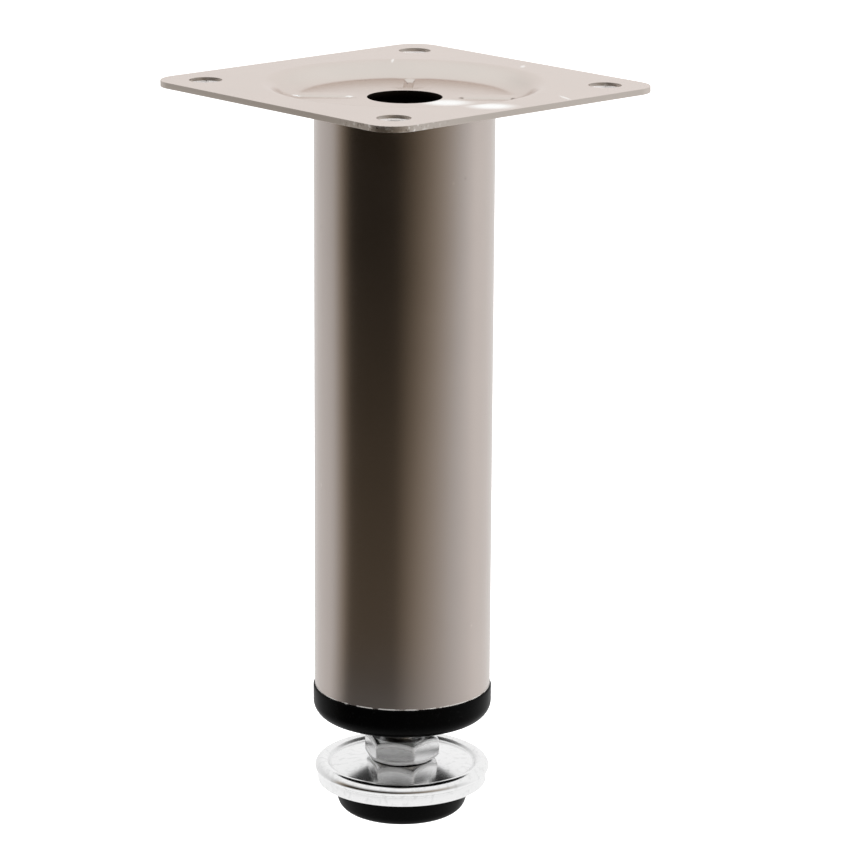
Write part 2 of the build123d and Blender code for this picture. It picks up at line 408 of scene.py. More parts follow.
def soft_spot(tree, place_on, centre, along, half_length, half_width):
    """1 in an oval spot on the plate and falling softly to 0. It lies along an angle in degrees."""
    spot = made(tree, "ShaderNodeMapping", vector_type="TEXTURE", named={
        "Vector": place_on, "Location": (*centre, 0), "Rotation": (0, 0, math.radians(along)),
        "Scale": (half_length, half_width, 1)})
    x, y, _ = parts(tree, spot)
    return fade(tree, distance(x, y), 1.25, 0.3, smooth=True)


def inside_radius(tree, place_on, radius):
    """1 nearer to the axis than a radius, and 0 beyond it."""
    x, y, _ = parts(tree, place_on)
    return distance(x, y).maths("LESS_THAN", radius)


def polar(reach, degrees):
    """The x and y of a spot at a distance from the axis and an angle in degrees."""
    return reach * math.cos(math.radians(degrees)), reach * math.sin(math.radians(degrees))


plate_finish, tree, shader, place_on = satin_nickel("plate_satin_nickel", (0.70, 0.645, 0.60), 0.2, 0.1, 0.15)
# Painted highlights: soft pale spots whiten the colour and the specular tint on upward faces. They stand for
# the glare near and in front of the centre hole and for the bright line and ends of the back rib, at 135
# degrees. Three narrow streaks are bright specks.
highlit_rib = 135
glare_and_speck_spots = [
    ((1.5 * mm, -8.6 * mm), -42, 4.4 * mm, 3.2 * mm, 1.0),
    ((-4.6 * mm, -25.6 * mm), -42, 4.2 * mm, 2.9 * mm, 1.0),
    ((25.8 * mm, -1.1 * mm), 40, 1.4 * mm, 0.5 * mm, 0.6),
    ((13.8 * mm, 18.4 * mm), 40, 1.0 * mm, 0.3 * mm, 0.6),
    ((9.8 * mm, -27.6 * mm), 70, 2.4 * mm, 0.45 * mm, 0.6),
    (polar((rib_inner_radius + rib_outer_radius) / 2, highlit_rib), highlit_rib, 5.2 * mm, 0.4 * mm, 0.5),
    (polar(rib_inner_radius, highlit_rib), highlit_rib, 0.9 * mm, 0.9 * mm, 1.0),
    (polar(rib_outer_radius, highlit_rib), highlit_rib, 0.9 * mm, 0.9 * mm, 1.0),
]
painted_glare_and_specks = 0.0
for *spot, amount in glare_and_speck_spots:
    painted_glare_and_specks = (soft_spot(tree, place_on, *spot) * amount).maths("MAXIMUM", painted_glare_and_specks)
_, _, facing_up = parts(tree, read(tree, "ShaderNodeTexCoord", "Normal"))
painted_glare_and_specks = painted_glare_and_specks * facing_up.maths("GREATER_THAN", 0)
mix_in(tree, shader.inputs["Base Color"], (1.0, 1.0, 0.98), painted_glare_and_specks)
feed(tree, shader.inputs["Specular Tint"], mixed(tree, painted_glare_and_specks, (0.90, 0.85, 0.83, 1), (1, 1, 1, 1)))
sheared = read(tree, "ShaderNodeAttribute", "Fac", attribute_name="sheared")
mix_in(tree, shader.inputs["Base Color"], (0.64, 0.585, 0.54), sheared)
mix_in(tree, shader.inputs["Roughness"], 0.45, sheared)
x, y, z = parts(tree, place_on)
# Near the front corner the sheared edge gets pale patches, a painted highlight, and darker patches.
front_corner = fade(tree, x + y, plate_low.x + plate_low.y + 13 * mm, plate_low.x + plate_low.y + 5 * mm)
front_corner_edge = sheared * front_corner
patches = noise(tree, place_on, 1500, 3)
mix_in(tree, shader.inputs["Base Color"], (1.0, 0.97, 0.94), front_corner_edge * fade(tree, patches, 0.55, 0.66))
mix_in(tree, shader.inputs["Base Color"], (0.16, 0.12, 0.09), front_corner_edge * fade(tree, patches, 0.40, 0.34))
# Painted shade: dark dots at both ends of the rib at -45 degrees, where its end walls lie in shade.
for reach in (rib_inner_radius, rib_outer_radius):
    dot = soft_spot(tree, place_on, polar(reach, -45), 45, 0.9 * mm, 0.5 * mm)
    mix_in(tree, shader.inputs["Base Color"], (0.25, 0.2, 0.17), dot)
shadowed = inside_radius(tree, place_on, centre_hole_radius + 0.06 * mm)
mix_in(tree, shader.inputs["Base Color"], (0.02, 0.015, 0.012), shadowed)
# Painted light: the lower part of each screw hole's wall and its chamfer is pale and matt, standing in for
# the white seen through the hole.
near_hole = from_hole(x, y, screw_hole_spacing).maths("LESS_THAN", screw_hole_radius + countersink + 0.1 * mm)
painted_light_hole_wall = near_hole * z.maths("LESS_THAN", -0.58 * mm)
mix_in(tree, shader.inputs["Base Color"], (0.95, 0.92, 0.90), painted_light_hole_wall)
mix_in(tree, shader.inputs["Roughness"], 0.6, painted_light_hole_wall)
feed(tree, shader.inputs["Metallic"], 1.0 - painted_light_hole_wall * 0.7)


def bevel(piece, name, width, segments, **limits):
    """A Bevel modifier on the edges within its limits."""
    edges = piece.modifiers.new(name, "BEVEL")
    edges.width = width
    edges.segments = segments
    for label, value in limits.items():
        setattr(edges, label, value)


def fill_flat(piece, level, side, inner_radius):
    """Fills a flat face afresh, outside a radius, between the edges that the bevels moved."""
    mesh = bmesh.new()
    mesh.from_mesh(piece.data)
    old = [face for face in mesh.faces if all(abs(corner.co.z - level) < 0.002 * mm for corner in face.verts)
           and face.calc_center_median().to_2d().length > inner_radius]
    finish = old[0].material_index
    bmesh.ops.delete(mesh, geom=old, context="FACES")
    open_edges = [edge for edge in mesh.edges if edge.is_boundary]
    filled = bmesh.ops.triangle_fill(mesh, use_beauty=True, edges=open_edges, normal=(0, 0, side))
    for face in filled["geom"]:
        if isinstance(face, bmesh.types.BMFace):
            face.smooth = False
            face.material_index = finish
            if face.normal.z * side < 0:
                face.normal_flip()
    mesh.to_mesh(piece.data)
    mesh.free()


plate = new_piece("mounting_plate_pressed")
run_tree(plate, blank_tree(), {
    "Side": plate_side, "Corner": plate_corner, "Hole Spacing": screw_hole_spacing,
    "Hole Radius": screw_hole_radius, "Centre Hole": centre_hole_radius,
    "Net Radius": pressed_radius, "Round": 448, "Rings": 78,
})
run_tree(plate, dish_tree(), {
    "Floor Radius": dish_floor_radius, "Wall Run": dish_wall_run, "Depth": dish_depth,
})
thicken = plate.modifiers.new("sheet", "SOLIDIFY")
thicken.thickness = sheet
thicken.offset = -1
keep_evaluated(plate)
run_tree(plate, rib_tree(), {
    "Count": 4.0, "Inner Radius": rib_inner_radius, "Outer Radius": rib_outer_radius,
    "Width": rib_width, "Depth": rib_depth, "Wall": 0.4 * mm, "Dip Depth": 0.07 * mm, "Dip Reach": 2.4 * mm,
})
run_tree(plate, cut_edge_tree(), {
    "Hole Spacing": screw_hole_spacing, "Hole Radius": screw_hole_radius, "Sheet": sheet,
    "Material": plate_finish,
})
bevel(plate, "countersinks", countersink, 1, limit_method="WEIGHT")
bevel(plate, "rims", 0.15 * mm, 3, limit_method="ANGLE", angle_limit=math.radians(40))
plate.data.shade_smooth()
keep_evaluated(plate)
fill_flat(plate, 0, 1, 0.9999 * pressed_radius)
fill_flat(plate, -sheet, -1, 0.9999 * pressed_radius)
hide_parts("mounting_plate")
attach(plate, "leg")

# Leg tube
# A length of thin round steel tube, cut square, welded by its upper end to the plate's ribs and
# plated with it.
tube_low, tube_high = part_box("leg_tube")
tube_radius = tube_high.x
tube_wall = 1.2 * mm
tube_bore = tube_radius - tube_wall
tube_edge = 0.2 * mm


def arc(centre, radius, start, end, steps):
    """Points of an arc in a section, from one angle to another, in degrees."""
    angles = [math.radians(start + (end - start) * i / steps) for i in range(steps + 1)]
    return [(centre[0] + radius * math.cos(a), centre[1] + radius * math.sin(a)) for a in angles]


def ringed(name, rings, steps, turn=0.0, close=False):
    """A mesh of rings round the axis. A ring is one (radius, height), or a list of them, one for
    each step round the axis."""
    mesh = bmesh.new()
    angles = [turn + 2 * math.pi * i / steps for i in range(steps)]
    rows = []
    for ring in rings:
        spots = ring if isinstance(ring, list) else [ring] * steps
        if spots[0][0] == 0:
            rows.append([mesh.verts.new((0, 0, spots[0][1]))] * steps)
        else:
            corners = [(r * math.cos(a), r * math.sin(a), z) for (r, z), a in zip(spots, angles)]
            rows.append([mesh.verts.new(corner) for corner in corners])
    for high, low in zip(rows, rows[1:] + rows[:1] if close else rows[1:]):
        for i in range(steps):
            n = (i + 1) % steps
            corners = [high[i], low[i], low[n], high[n]]
            mesh.faces.new([v for k, v in enumerate(corners) if v not in corners[:k]])
    bmesh.ops.recalc_face_normals(mesh, faces=mesh.faces)
    piece = new_piece(name)
    mesh.to_mesh(piece.data)
    mesh.free()
    return piece


def soften(piece, angle=35):
    """Smooth shading with sharp edges where faces meet at more than an angle."""
    piece.data.shade_smooth()
    piece.data.set_sharp_from_angle(angle=math.radians(angle))


def turned(name, section, steps=256, close=True):
    """Turns a section of (radius, height) points round the axis into one solid mesh."""
    piece = ringed(name, section, steps, close=close)
    soften(piece)
    return piece


tube = turned("leg_tube_plated", [
    *arc((tube_radius - tube_edge, tube_low.z + tube_edge), tube_edge, -90, 0, 5),
    *arc((tube_radius - tube_edge, tube_high.z - tube_edge), tube_edge, 0, 90, 5),
    *arc((tube_bore + tube_edge, tube_high.z - tube_edge), tube_edge, 90, 180, 5),
    *arc((tube_bore + tube_edge, tube_low.z + tube_edge), tube_edge, 180, 270, 5),
])
tube_finish, tree, shader, place_on = satin_nickel("tube_satin_nickel", (0.52, 0.46, 0.425), 0.25, 0.08, 0.3)
# Nearer the axis than a third into the wall, the tube is dark and matt: its bore and the inner part of its
# ends.
in_bore = inside_radius(tree, place_on, tube_bore + tube_wall / 3)
mix_in(tree, shader.inputs["Base Color"], (0.06, 0.05, 0.045), in_bore)
mix_in(tree, shader.inputs["Roughness"], 0.6, in_bore)
_, _, z = parts(tree, place_on)
low_rim = z.maths("LESS_THAN", tube_low.z + 0.3 * mm) * (1.0 - in_bore)
glint = low_rim * fade(tree, noise(tree, place_on, 600), 0.4, 0.55)
mix_in(tree, shader.inputs["Base Color"], (0.8, 0.77, 0.74), glint)
feed(tree, shader.inputs["Metallic"], 1.0 - glint * 0.8)
tube.data.materials.append(tube_finish)
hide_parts("leg_tube")
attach(tube, "leg")

# End plug
# One black moulding. Its rounded flange closes the foot of the tube, and its stem, inside, has
# outer fins that grip the bore, webs round a middle boss, and a pocket that holds the nut.
plug_low, plug_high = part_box("end_plug")
nut_low, nut_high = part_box("plug_nut")
plug_radius = plug_high.x
flange_round = 2.7 * mm
flange_edge = 0.15 * mm
stem_radius = tube_bore - 1.0 * mm
stem_wall = 1.6 * mm
stem_bore = stem_radius - stem_wall
lead_in = 0.8 * mm
boss_radius = 6.4 * mm
plug_bore = 4.4 * mm
plug_floor = nut_high.z + 3.0 * mm
bite = 0.2 * mm


def moulding_group():
    """Moulded plastic: a fine matt skin with slow waviness and a little dust."""
    group, given, result = skin_group("moulded_skin", {})
    skin = noise(group, given["Vector"], 2600)
    dust = fade(group, skin, 0.62, 0.8, 0.0, 0.006)
    paler = made(group, "ShaderNodeVectorMath", given["Colour"], dust, operation="ADD")
    feed(group, result["Colour"], paler)
    drift = (noise(group, given["Vector"], 150) - 0.5) * 0.25
    feed(group, result["Roughness"], given["Roughness"] + drift)
    feed(group, result["Height"], skin)
    return group


moulded_skin = moulding_group()


def black_plastic(name, colour, roughness):
    """Black moulded plastic."""
    material, _, shader, _ = skinned(name, moulded_skin, colour, roughness, 0.004 * mm, {})
    shader.inputs["Specular IOR Level"].default_value = 0.03
    return material


def prism(name, radius, sides, low, high):
    """A closed upright prism."""
    mesh = bmesh.new()
    angles = [2 * math.pi * i / sides for i in range(sides)]
    spots = [(radius * math.cos(a), radius * math.sin(a)) for a in angles]
    bottom, top = [[mesh.verts.new((*spot, z)) for spot in spots] for z in (low, high)]
    mesh.faces.new(list(reversed(bottom)))
    mesh.faces.new(top)
    for i in range(sides):
        n = (i + 1) % sides
        mesh.faces.new([bottom[i], bottom[n], top[n], top[i]])
    piece = new_piece(name)
    mesh.to_mesh(piece.data)
    mesh.free()
    return piece


def spokes_tree():
    """Adds thin upright walls spaced evenly round the axis: the fins, and then the webs."""
    tree, given, result = node_tree("plug_walls", {
        "Count": 6, "Middle Radius": 0.009, "Length": 0.005, "Width": 0.0014, "Height": 0.013,
        "Bottom": 0.0, "Material": None})
    points = made(tree, "GeometryNodeMeshCircle", given["Count"], given["Middle Radius"])
    size = made(tree, "ShaderNodeCombineXYZ", given["Length"], given["Width"], given["Height"])
    _, angle = polar_position(tree)
    walls = made(tree, "GeometryNodeInstanceOnPoints", named={
        "Points": points, "Instance": made(tree, "GeometryNodeMeshCube", size),
        "Rotation": made(tree, "ShaderNodeCombineXYZ", None, None, angle)})
    walls = made(tree, "GeometryNodeRealizeInstances", walls)
    lifted = pressed(tree, walls, given["Bottom"] + given["Height"] * 0.5)
    return finished(tree, joined(tree, given["Mesh"], lifted), given, result)


plug_material = black_plastic("plug_black_plastic", (0.0008, 0.0008, 0.0008), 0.3)
plug = turned("end_plug_moulded", [
    (plug_bore, plug_low.z),
    *arc((plug_radius - flange_round, plug_low.z + flange_round), flange_round, -90, 0, 12),
    *arc((plug_radius - flange_edge, tube_low.z - flange_edge), flange_edge, 0, 90, 3),
    (stem_radius, tube_low.z),
    (stem_radius, plug_high.z - lead_in),
    (stem_radius - lead_in, plug_high.z),
    (stem_bore, plug_high.z),
    (stem_bore, plug_floor),
    (boss_radius, plug_floor),
    (boss_radius, plug_high.z),
    (plug_bore, plug_high.z),
])
pocket = prism("nut_pocket", nut_high.x, 6, plug_low.z - mm, nut_high.z)
cut = plug.modifiers.new("pocket", "BOOLEAN")
cut.object = pocket
cut.operation = "DIFFERENCE"
cut.solver = "EXACT"
keep_evaluated(plug)
bpy.data.objects.remove(pocket)
plug_walls = spokes_tree()
run_tree(plug, plug_walls, {
    "Count": 12, "Middle Radius": (stem_radius + tube_bore) / 2 - bite / 2,
    "Length": tube_bore - stem_radius + bite, "Width": 0.9 * mm,
    "Height": plug_high.z - 2 * lead_in - tube_low.z, "Bottom": tube_low.z, "Material": plug_material,
})
run_tree(plug, plug_walls, {
    "Count": 6, "Middle Radius": (boss_radius + stem_bore) / 2,
    "Length": stem_bore - boss_radius + 2 * bite, "Width": 1.4 * mm,
    "Height": plug_high.z - plug_floor - lead_in, "Bottom": plug_floor - bite, "Material": plug_material,
})
soften(plug)
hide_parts("end_plug")
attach(plug, "leg")

# Plug nut
# A plain M8 nut, zinc plated, pressed up into the plug's pocket from below. It is the CAD's own
# solid with a material.
def bright_group():
    """Bright plating: rolled waviness and a few dull spots."""
    group, given, result = skin_group("bright_plating", {"Dullness": "number"})
    dull = fade(group, noise(group, given["Vector"], 900, 4), 0.52, 0.7) * given["Dullness"]
    feed(group, result["Colour"], scaled(group, given["Colour"], 1.0 - dull * 0.3))
    feed(group, result["Roughness"], given["Roughness"] + dull * 0.15)
    feed(group, result["Height"], noise(group, given["Vector"], 240))
    return group


bright_plating = bright_group()


def bright_metal(name, colour, roughness, dullness, waviness):
    """Bright zinc or nickel plating."""
    inputs = {"Dullness": dullness}
    material, tree, shader, place_on = skinned(name, bright_plating, colour, roughness, waviness, inputs)
    shader.inputs["Metallic"].default_value = 1
    return material, tree, shader, place_on


nut_finish, _, _, _ = bright_metal("nut_zinc", (0.62, 0.63, 0.62), 0.28, 0.8, 0.03 * mm)
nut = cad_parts["plug_nut"]
nut.data.materials.clear()
nut.data.materials.append(nut_finish)

# Adjusting screw
# One turned steel piece, bright plated: an M8 thread that runs in the nut, a wrench hexagon
# chamfered at both ends, and below it a short journal and head that hold the foot.
screw_low, screw_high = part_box("adjusting_screw")
cover_low, cover_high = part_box("foot_cover")
stud_radius = 4.0 * mm
thread_pitch = 1.25 * mm
thread_depth = 0.77 * mm
hexagon_flats = 11.4 * mm
hexagon_height = 4.2 * mm
hexagon_turn = math.radians(5.8)
hexagon_corner_round = 0.35 * mm
hexagon_flat_radius = hexagon_flats / 2 * 0.93
hexagon_edge_round = 0.4 * mm
hexagon_edge_margin = 0.3 * mm
hexagon_steps = 6 * 32
foot_end_play = 0.1 * mm
journal_radius = 3.6 * mm
head_radius = 5.1 * mm
head_height = 1.9 * mm
head_edge = 0.4 * mm
hexagon_bottom = cover_high.z + foot_end_play
hexagon_top = hexagon_bottom + hexagon_height
head_top = screw_low.z + head_height


def thread_tree():
    """A threaded stud: a net wound round the axis, its radius a right-hand thread of straight
    flanks, with a chamfered tip and closed ends."""
    tree, given, result = node_tree("stud_thread", {
        "Radius": 0.004, "Pitch": 0.00125, "Depth": 0.0008, "Bottom": 0.0, "Top": 0.02,
        "Tip Chamfer": 0.0008, "Run Out": 0.0015, "Round": 48, "Rows": 100, "Material": None})
    net, along, turn = round_net(tree, given["Rows"], given["Round"])
    last = given["Rows"] - 1.0
    row = (along * last).maths("ROUND")
    climb = (row - 1.0).maths("MAXIMUM", 0.0) * ((given["Top"] - given["Bottom"]) / (last - 2.0))
    height = (given["Bottom"] + climb).maths("MINIMUM", given["Top"])
    phase = (height / given["Pitch"] - turn / (2 * math.pi)).maths("FRACT")
    flank = fade(tree, (phase - 0.5).maths("ABSOLUTE") * 2.0, 0.125, 0.75)
    run_out = fade(tree, height - given["Bottom"], 0.0, given["Run Out"], 1.0, 0.0, smooth=True)
    cut_depth = (flank * given["Depth"]).maths("MAXIMUM", run_out * given["Depth"])
    cone = given["Radius"] - given["Tip Chamfer"] + (given["Top"] - height)
    body = row.maths("GREATER_THAN", 0.5) * row.maths("LESS_THAN", last - 0.5)
    radius = (given["Radius"] - cut_depth).maths("MINIMUM", cone) * body
    stud = merged(tree, wound(tree, net, radius, turn, height))
    return finished(tree, joined(tree, given["Mesh"], stud), given, result)


def hexagon_radius(angle):
    """Distance from the axis to the side of a hexagon with rounded corners, one corner at angle 0."""
    apothem = hexagon_flats / 2
    from_corner = abs((angle + math.pi / 6) % (math.pi / 3) - math.pi / 6)
    centre = (apothem - hexagon_corner_round) / math.cos(math.pi / 6)
    touch = math.atan2(hexagon_corner_round / 2, centre + hexagon_corner_round * math.cos(math.pi / 6))
    if from_corner > touch:
        return apothem / math.cos(math.pi / 6 - from_corner)
    reach = math.sqrt(hexagon_corner_round ** 2 - (centre * math.sin(from_corner)) ** 2)
    return centre * math.cos(from_corner) + reach


def chamfer_rings():
    """Rings of one end of the hexagon, from its chamfer over the rounded edge to its sides: for each
    step round the axis, the radius and the depth below the end."""
    sides = [hexagon_radius(2 * math.pi * i / hexagon_steps) for i in range(hexagon_steps)]
    drops = [(r - hexagon_flat_radius) * math.tan(math.radians(30)) for r in sides]
    rings = []
    for share in (0, 0.25, 0.5, 0.75, 1):
        inward = (1 - share) ** 2 * hexagon_edge_round * math.cos(math.radians(30))
        further = (share ** 2 - (1 - share) ** 2 / 2) * hexagon_edge_round
        rings.append([(r - inward, d + further) for r, d in zip(sides, drops)])
    rings.append([(r, d + hexagon_edge_round + hexagon_edge_margin) for r, d in zip(sides, drops)])
    return rings


screw = ringed("adjusting_screw_turned", [
    (0, hexagon_top),
    (hexagon_flat_radius, hexagon_top),
    *[[(r, hexagon_top - d) for r, d in ring] for ring in chamfer_rings()],
    *[[(r, hexagon_bottom + d) for r, d in ring] for ring in reversed(chamfer_rings())],
    (hexagon_flat_radius, hexagon_bottom),
    (journal_radius, hexagon_bottom),
    (journal_radius, head_top),
    (head_radius, head_top),
    (head_radius, screw_low.z + head_edge),
    (head_radius - head_edge, screw_low.z),
    (0, screw_low.z),
], hexagon_steps, hexagon_turn)
soften(screw, 20)
bevel(screw, "edges", 0.14 * mm, 3, limit_method="ANGLE", angle_limit=math.radians(22))
keep_evaluated(screw)
soften(screw, 20)
screw_finish, tree, shader, place_on = bright_metal(
    "screw_bright_plating", (0.86, 0.86, 0.86), 0.2, 0.3, 0.015 * mm)
_, _, z = parts(tree, place_on)
_, _, facing_up = parts(tree, read(tree, "ShaderNodeTexCoord", "Normal"))
tilt = facing_up.maths("ABSOLUTE")
on_hexagon = z.maths("GREATER_THAN", hexagon_bottom - 0.01 * mm)
on_hexagon = on_hexagon * z.maths("LESS_THAN", hexagon_top + 0.01 * mm)
# Painted highlight: the hexagon's rounded edges between its sides and chamfers are coloured white and matt,
# as lit edges.
painted_edge_highlight = on_hexagon * fade(tree, tilt, 0.01, 0.06) * fade(tree, tilt, 0.82, 0.7)
mix_in(tree, shader.inputs["Base Color"], (1, 1, 1), painted_edge_highlight)
mix_in(tree, shader.inputs["Roughness"], 0.6, painted_edge_highlight)
feed(tree, shader.inputs["Metallic"], 1.0 - painted_edge_highlight * 0.7)
# Painted shade: the hexagon's upper face is darkened, as in the shade under the plug.
painted_top_shade = on_hexagon * fade(tree, facing_up, 0.9, 0.97)
mix_in(tree, shader.inputs["Base Color"], (0.2, 0.2, 0.2), painted_top_shade)
run_tree(screw, thread_tree(), {
    "Radius": stud_radius, "Pitch": thread_pitch, "Depth": thread_depth,
    "Bottom": hexagon_top - 0.3 * mm, "Top": screw_high.z, "Tip Chamfer": 0.8 * mm, "Run Out": 1.6 * mm,
    "Round": 64, "Rows": 322, "Material": screw_finish,
})
soften(screw, 28)
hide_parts("adjusting_screw")
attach(screw, "screw")

# Foot cover
# One disc of sheet, pressed to a flat seat, a shallow falling crown and a rolled bead, then a short
# skirt that grips the pad. It is bright plated, and the screw's head holds it by the seat.
cover_sheet = 0.6 * mm
cover_hole = journal_radius + 0.1 * mm
seat_radius = 5.6 * mm
seat_edge = 2.4 * mm
crown_slope = -8
bead_entry_angle = 50
bead_entry = 0.5 * mm
bead_top = 1.4 * mm
bead_shoulder_angle = -70
bead_side = 0.75 * mm
bead_under_angle = -150
bead_crease = 0.25 * mm
skirt_height = 1.6 * mm
skirt_edge_round = 0.12 * mm


class SheetLine:
    """The line of a sheet's upper face in section, drawn by straight runs and tangent arcs."""

    def __init__(self, start):
        self.spot = Vector(start)
        self.heading = 0.0
        self.points = [(self.spot.copy(), 0.0)]

    def straight(self, length):
        """Goes on by a length."""
        self.spot += length * Vector((math.cos(self.heading), math.sin(self.heading)))
        self.points.append((self.spot.copy(), self.heading))

    def bend(self, radius, degrees):
        """Goes on by an arc, to the left or, with a negative angle, to the right."""
        steps = max(3, round(abs(degrees) / 6))
        side = 1 if degrees > 0 else -1
        centre = self.spot + side * radius * Vector((-math.sin(self.heading), math.cos(self.heading)))
        for _ in range(steps):
            self.heading += math.radians(degrees) / steps
            self.spot = centre - side * radius * Vector((-math.sin(self.heading), math.cos(self.heading)))
            self.points.append((self.spot.copy(), self.heading))

    def section(self, thickness):
        """Closed section: the upper face out, and the lower face back."""
        lower = [p + thickness * Vector((math.sin(a), -math.cos(a))) for p, a in reversed(self.points)]
        return [tuple(p) for p, _ in self.points] + [tuple(p) for p in lower]


def sine(angle):
    """Sine of an angle in degrees."""
    return math.sin(math.radians(angle))


bead_side_centre = cover_high.x - bead_side
bead_top_centre = bead_side_centre + (bead_top - bead_side) * sine(bead_shoulder_angle)
bead_top_start = bead_top_centre - bead_top * sine(bead_entry_angle)
crown_end = bead_top_start - bead_entry * (sine(bead_entry_angle) - sine(crown_slope))
crown_start = seat_radius - seat_edge * sine(crown_slope)

cover_line = SheetLine((cover_hole, cover_high.z))
cover_line.straight(seat_radius - cover_hole)
cover_line.bend(seat_edge, crown_slope)
cover_line.straight((crown_end - crown_start) / math.cos(math.radians(crown_slope)))
cover_line.bend(bead_entry, bead_entry_angle - crown_slope)
cover_line.bend(bead_top, bead_shoulder_angle - bead_entry_angle)
cover_line.bend(bead_side, bead_under_angle - bead_shoulder_angle)
cover_line.bend(bead_crease, -90 - bead_under_angle)
cover_line.straight(skirt_height)
cover = turned("foot_cover_pressed", cover_line.section(cover_sheet), 288)
bevel(cover, "edges", skirt_edge_round, 2, limit_method="ANGLE", angle_limit=math.radians(60))
keep_evaluated(cover)
soften(cover, 40)
cover_finish, tree, shader, place_on = bright_metal(
    "cover_bright_plating", (0.86, 0.86, 0.86), 0.15, 0.3, 0.012 * mm)
in_crease = inside_radius(tree, place_on, 12.8 * mm) - inside_radius(tree, place_on, 12.1 * mm)
mix_in(tree, shader.inputs["Roughness"], 0.3, in_crease)
cover.data.materials.append(cover_finish)
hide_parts("foot_cover")
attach(cover, "foot")

# Foot pad
# One black moulding, pressed up into the cover's skirt. A pocket in its top leaves room for the
# screw's head, and its flat underside stands on the floor.
pad_low, pad_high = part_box("foot_pad")
skirt_bottom = cover_low.z
pad_rim_radius = pad_high.x
pad_rim_top = skirt_bottom + 1.4 * mm
pad_rim_width = 1.1 * mm
pad_side_height = skirt_bottom - pad_low.z
pad_shoulder_radius = 12.1 * mm
pad_foot_radius = pad_shoulder_radius - pad_side_height * sine(18)
pad_side_angle = math.degrees(math.atan2(pad_shoulder_radius - pad_foot_radius, pad_side_height))
pad_round = 2.4 * mm
pad_flat_radius = pad_foot_radius - pad_round * math.tan(math.radians((90 - pad_side_angle) / 2))
pad_pocket_radius = head_radius + 0.3 * mm
pad_pocket_floor = screw_low.z - 0.15 * mm
pad = turned("foot_pad_moulded", [
    (0, pad_low.z),
    *arc((pad_flat_radius, pad_low.z + pad_round), pad_round, -90, -pad_side_angle, 12),
    (pad_shoulder_radius, skirt_bottom),
    (pad_rim_radius, skirt_bottom),
    (pad_rim_radius, pad_rim_top),
    (pad_rim_radius - pad_rim_width, pad_rim_top),
    (pad_rim_radius - pad_rim_width, pad_high.z),
    (pad_pocket_radius, pad_high.z),
    (pad_pocket_radius, pad_pocket_floor),
    (0, pad_pocket_floor),
], close=False)
pad.data.materials.append(black_plastic("pad_black_plastic", (0.001, 0.001, 0.001), 0.4))
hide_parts("foot_pad")
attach(pad, "foot")

# Studio
# A white floor in a white room, as low as the foot reaches when it is screwed right out. The room's
# side towards the camera and to its left is dark, so metal shows a dark band. What metal sees
# below it is a card level with the foot as it stands: white under the leg, and then as the room.
camera_azimuth = math.radians(-42.0811)
camera_elevation = math.radians(14.6264)
camera_distance = 626.198 * mm
camera_target = Vector((0, 0, -55 * mm))
camera_pitch = math.radians(14.9164)
camera_yaw = math.radians(0.3444)
camera_roll = math.radians(0.3303)
picture_width = 850
focal_pixels = 3722.31
sensor_width = 36.0
foot_travel = 13.8 * mm
white = (1, 1, 1, 1)
dark_side = ((-180, 1.0), (-100, 0.8), (-70, 0.1), (-10, 0.1), (100, 1.0), (180, 1.0))
dark_side_depth = 1.7


def room_side_group():
    """How bright the room is in a direction and at a distance from the leg: white, but for one dark
    side, deeper far away. Its angles go from 0 in front of the leg to the right."""
    group, given, result = shader_group(
        "room_side", {"Vector": "vector", "Distance": "number"}, {"Light": "colour"})
    x, y, _ = parts(group, made(group, "ShaderNodeVectorRotate", rotation_type="Z_AXIS", named={
        "Vector": given["Vector"], "Angle": -camera_azimuth}))
    around = x.maths("ARCTAN2", y * -1.0) / (2 * math.pi) + 0.5
    ramp = add(group, "ShaderNodeValToRGB", around)
    stops = ramp.color_ramp.elements
    while len(stops) < len(dark_side):
        stops.new(1.0)
    for stop, (degrees, light) in zip(stops, dark_side):
        stop.position = degrees / 360 + 0.5
        stop.color = (light, light, light, 1)
    away = given["Distance"]
    deeper = fade(group, away, 0.1, 0.7, 1.0, dark_side_depth)
    level = Value(group, ramp.outputs["Color"]).maths("POWER", deeper)
    warm = mixed(group, fade(group, away, 0.055, 0.085), white, (1, 0.78, 0.52, 1))
    tint = mixed(group, fade(group, level, 0.05, 0.7), warm, white)
    feed(group, result["Light"], scaled(group, tint, level))
    return group


room_side = room_side_group()


def light_world():
    """White to the camera and through glass, the room to metal, and a plain level to the rest."""
    world = bpy.data.worlds.new("room")
    bpy.context.scene.world = world
    world.use_nodes = True
    tree = world.node_tree
    direction = read(tree, "ShaderNodeTexCoord", "Generated")
    side = made(tree, "ShaderNodeGroup", node_tree=room_side, named={"Vector": direction, "Distance": 1})
    _, _, height = parts(tree, direction)
    seen = mixed(tree, fade(tree, height, 0.25, 0.75, smooth=True), side, white)
    by_metal = mixed(tree, read(tree, "ShaderNodeLightPath", "Is Glossy Ray"), (0.5, 0.5, 0.5, 1), seen)
    through_glass = read(tree, "ShaderNodeLightPath", "Is Transmission Ray")
    by_eye = read(tree, "ShaderNodeLightPath", "Is Camera Ray").maths("MAXIMUM", through_glass)
    feed(tree, tree.nodes["Background"].inputs["Color"], mixed(tree, by_eye, by_metal, white))


light_world()


def level_sheet(name, height, material):
    """A wide level square facing up, which is no part of the leg."""
    reach = 3.0
    piece = new_piece(name)
    corners = ((-reach, -reach), (reach, -reach), (reach, reach), (-reach, reach))
    piece.data.from_pydata([(x, y, height) for x, y in corners], [], [(0, 1, 2, 3)])
    piece.data.materials.append(material)
    return piece


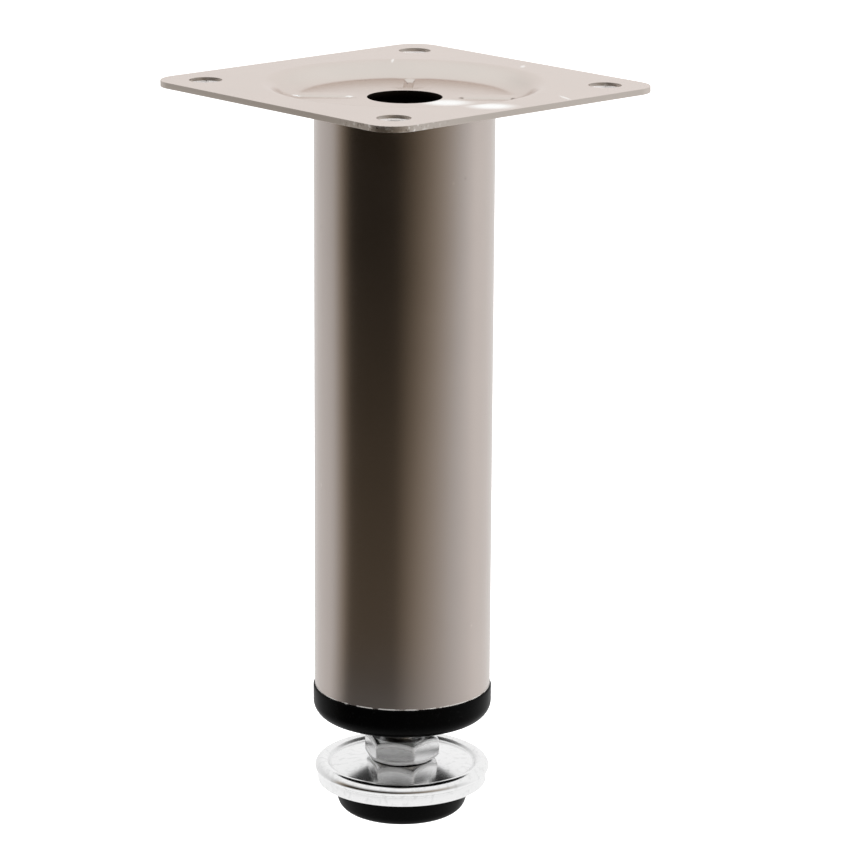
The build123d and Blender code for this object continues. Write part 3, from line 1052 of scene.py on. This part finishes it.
def from_above(tree, shown):
    """Shows a shader on the upper side alone."""
    below = read(tree, "ShaderNodeNewGeometry", "Backfacing")
    sided = made(tree, "ShaderNodeMixShader", below, shown, made(tree, "ShaderNodeBsdfTransparent"))
    feed(tree, tree.nodes["Material Output"].inputs["Surface"], sided)


floor_material, tree, shader, _ = new_material("floor_paper")
shader.inputs["Base Color"].default_value = (0.9, 0.9, 0.9, 1)
shader.inputs["Roughness"].default_value = 0.9
shader.inputs["Specular IOR Level"].default_value = 0
plain = Value(tree, shader.outputs["BSDF"])
glow = made(tree, "ShaderNodeEmission", named={"Strength": 0.8})
lit = made(tree, "ShaderNodeAddShader", plain, glow)
by_eye = read(tree, "ShaderNodeLightPath", "Is Camera Ray")
from_above(tree, made(tree, "ShaderNodeMixShader", by_eye, plain, lit))
floor = level_sheet("floor", pad_low.z - foot_travel, floor_material)
floor.visible_glossy = False

card_material, tree, _, place_on = new_material("card_paper")
x, y, _ = parts(tree, place_on)
reach = distance(x, y)
side = made(tree, "ShaderNodeGroup", node_tree=room_side, named={"Vector": place_on, "Distance": reach})
white_edge = fade(tree, reach, 0.022, 0.052, smooth=True)
from_above(tree, made(tree, "ShaderNodeEmission", mixed(tree, white_edge, white, side)))
card = level_sheet("card", pad_low.z - 0.02 * mm, card_material)
card.visible_camera = card.visible_diffuse = card.visible_transmission = card.visible_shadow = False


def soft_lamp(name, azimuth, elevation, distance_away, size, power):
    """A square area lamp aimed at the leg, placed by angles from the camera's side."""
    lamp = bpy.data.lights.new(name, "AREA")
    lamp.size = size
    lamp.energy = power
    holder = bpy.data.objects.new(name, lamp)
    bpy.context.scene.collection.objects.link(holder)
    a = camera_azimuth + math.radians(azimuth)
    e = math.radians(elevation)
    away = Vector((math.sin(a) * math.cos(e), -math.cos(a) * math.cos(e), math.sin(e)))
    holder.location = camera_target + away * distance_away
    holder.rotation_mode = "QUATERNION"
    holder.rotation_quaternion = away.to_track_quat("Z", "Y")
    holder.visible_glossy = False


soft_lamp("overhead_softbox", 60, 75, 0.9, 0.8, 5.0)
soft_lamp("right_softbox", 75, 30, 0.9, 0.6, 2.5)

ahead = Vector((-math.sin(camera_azimuth), math.cos(camera_azimuth), 0))
rightward = Vector((math.cos(camera_azimuth), math.sin(camera_azimuth), 0))
upward = Vector((0, 0, 1))
looking = math.cos(camera_pitch) * (math.cos(camera_yaw) * ahead + math.sin(camera_yaw) * rightward)
looking = (looking - math.sin(camera_pitch) * upward).normalized()
level_right = looking.cross(upward).normalized()
level_up = level_right.cross(looking)
right = math.cos(camera_roll) * level_right + math.sin(camera_roll) * level_up
up = math.cos(camera_roll) * level_up - math.sin(camera_roll) * level_right
backward = -math.cos(camera_elevation) * ahead + math.sin(camera_elevation) * upward
camera = bpy.data.objects.new("camera", bpy.data.cameras.new("camera"))
bpy.context.scene.collection.objects.link(camera)
camera.matrix_world = Matrix.Translation(camera_target + camera_distance * backward) @ Matrix(
    (right, up, -looking)).transposed().to_4x4()
camera.data.sensor_width = sensor_width
camera.data.lens = sensor_width * focal_pixels / picture_width
camera.data.clip_start = 0.05
bpy.context.scene.camera = camera
bpy.context.scene.view_settings.view_transform = "Standard"
